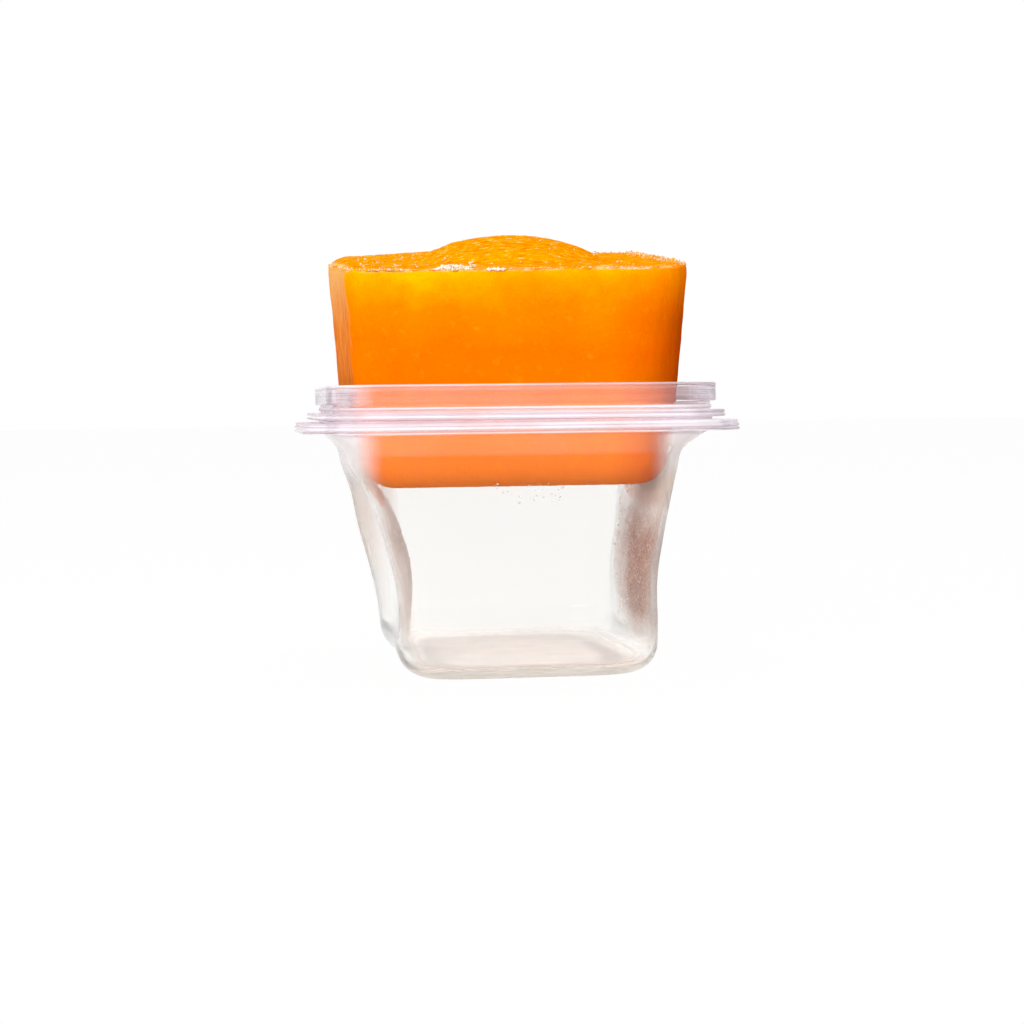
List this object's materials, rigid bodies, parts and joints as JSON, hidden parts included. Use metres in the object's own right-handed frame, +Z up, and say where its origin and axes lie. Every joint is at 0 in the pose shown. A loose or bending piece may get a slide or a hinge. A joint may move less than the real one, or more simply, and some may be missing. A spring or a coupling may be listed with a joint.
{
  "type": "baby food freezer cup",
  "caption": "Square thin-walled freezer cup with a stepped lid rim, its walls squeezed in, and the frozen block of puree that slides up and out of it.",
  "frame": {"origin": "on the surface the cup stands on, under the middle of the rim", "axes": "+Z up, -Y towards the front wall, X across the two walls that are squeezed in"},
  "size_m": [0.0928, 0.0928, 0.0955],
  "materials": {
    "clear_cup": "clear, slightly hazy soft plastic",
    "frozen_puree": "frozen orange puree with frost on its top edges"
  },
  "bodies": {
    "cup": {"freezer_cup": "clear_cup"},
    "block": {"puree_block": "frozen_puree"}
  },
  "joints": [
    {"name": "block_lift", "type": "slide", "parent": "cup", "child": "block", "axis": [0, 0, 1], "range_m": [0, 0.06]}
  ]
}
